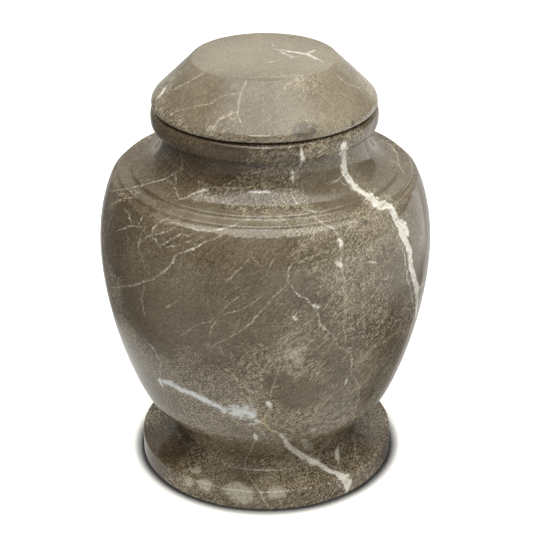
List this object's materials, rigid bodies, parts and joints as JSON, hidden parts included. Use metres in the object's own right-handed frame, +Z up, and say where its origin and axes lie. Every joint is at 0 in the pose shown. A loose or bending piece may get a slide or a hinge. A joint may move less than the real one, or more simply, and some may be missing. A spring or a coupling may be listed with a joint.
{
  "type": "stone urn",
  "caption": "Turned and polished stone urn for ashes: round belly on a disc foot, stepped shoulder, short collared neck, and a loose conical lid with a flat top.",
  "frame": {"origin": "centre of the foot's underside, on the turning axis", "axes": "+Z up along the turning axis; -Y is the side that the picture shows, with +X to its right"},
  "size_m": [0.1994, 0.1994, 0.26],
  "materials": {
    "body_stone": "polished taupe marble with cream veins, cloudy darker patches and fine fossil flecks",
    "lid_stone": "polished taupe marble with hairline cream veins and a grey patch"
  },
  "bodies": {
    "root": {"urn_body": "body_stone", "urn_lid": "lid_stone"}
  },
  "joints": []
}
